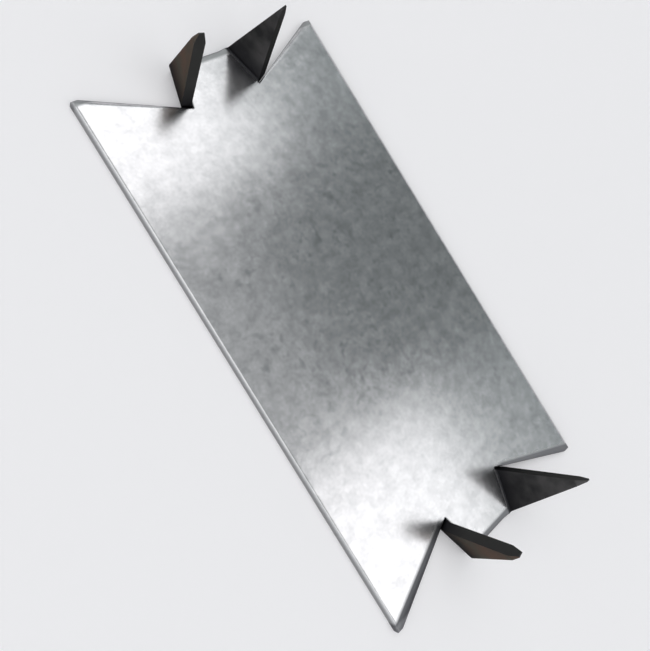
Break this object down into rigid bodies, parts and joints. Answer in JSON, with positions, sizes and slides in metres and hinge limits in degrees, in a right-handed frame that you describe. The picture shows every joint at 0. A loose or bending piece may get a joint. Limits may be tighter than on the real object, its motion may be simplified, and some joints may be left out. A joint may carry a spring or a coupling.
{
  "type": "stud guard",
  "caption": "Galvanised steel plate with pointed prongs lanced out of its ends and folded up, driven into a wall stud to shield a cable or pipe behind it.",
  "frame": {"origin": "centre of the plate, on its smooth face", "axes": "+X along the plate's length, +Y across its width, +Z out of the face that the prongs stand on"},
  "size_m": [0.0766, 0.0382, 0.0141],
  "materials": {
    "galvanised_sheet": "hot-dip galvanised sheet, satin, with a fine spangle"
  },
  "bodies": {
    "root": {"stud_guard": "galvanised_sheet"}
  },
  "joints": []
}
